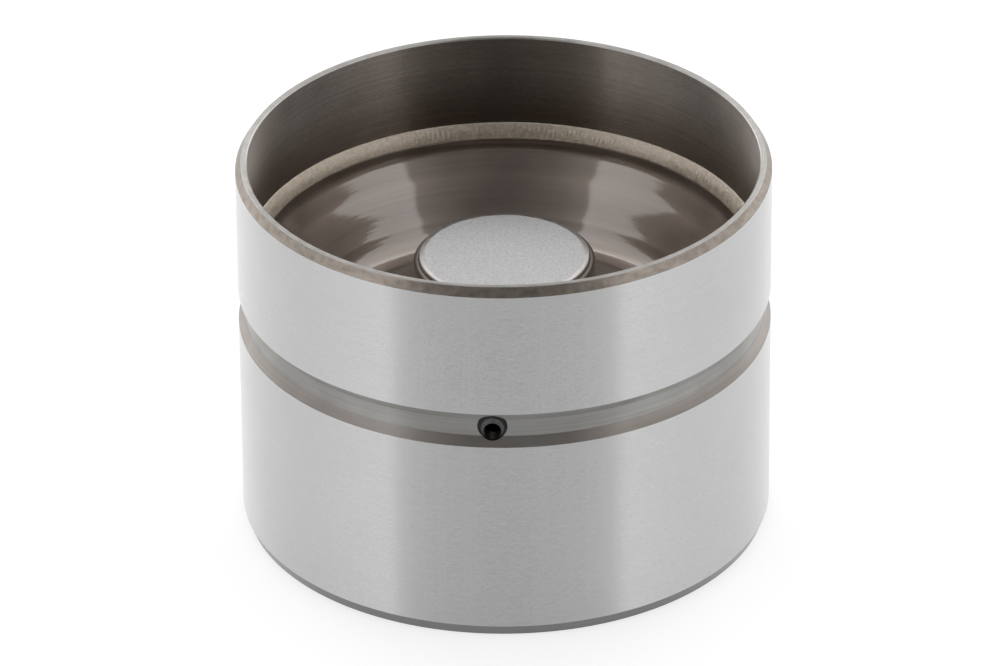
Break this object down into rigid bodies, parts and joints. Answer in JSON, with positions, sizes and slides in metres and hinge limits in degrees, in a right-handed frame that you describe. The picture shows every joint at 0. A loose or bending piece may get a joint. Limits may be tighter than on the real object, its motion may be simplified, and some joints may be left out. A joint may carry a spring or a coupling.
{
  "type": "hydraulic bucket tappet",
  "caption": "Round steel bucket tappet with oil groove, brazed-in conical web and sleeve, and a sprung hydraulic lash element.",
  "frame": {"origin": "centre of the cam face, on the surface the tappet stands on", "axes": "+Z along the tappet's axis from the cam face towards the open end; the feed hole looks towards -Y"},
  "size_m": [0.035, 0.035, 0.0258],
  "materials": {
    "ground_steel": "ground outside, dark bronze-brown inside",
    "drawn_steel": "drawn sheet with a faint bronze tint, semi-gloss",
    "filler_metal": "matt beige, rippled",
    "element_steel": "fine ground",
    "ball_steel": "polished",
    "spring_steel": "drawn wire, oiled",
    "cage_steel": "stamped sheet"
  },
  "bodies": {
    "bucket": {"bucket_body": "ground_steel", "guide_insert": "drawn_steel", "weld_seam": "filler_metal", "piston": "element_steel", "ball_cage": "cage_steel", "ball_spring": "spring_steel", "return_spring": "spring_steel"},
    "element": {"inner_housing": "element_steel"},
    "ball": {"check_ball": "ball_steel"}
  },
  "joints": [
    {"name": "element_slide", "type": "slide", "parent": "bucket", "child": "element", "axis": [0, 0, -1], "range_m": [0, 0.0022], "stiffness_N_per_m": 3000, "springref_m": -0.004, "deforming": ["return_spring"]},
    {"name": "ball_lift", "type": "slide", "parent": "bucket", "child": "ball", "axis": [0, 0, 1], "range_m": [0, 0.00025], "stiffness_N_per_m": 200, "springref_m": -0.0005, "deforming": ["ball_spring"]}
  ]
}
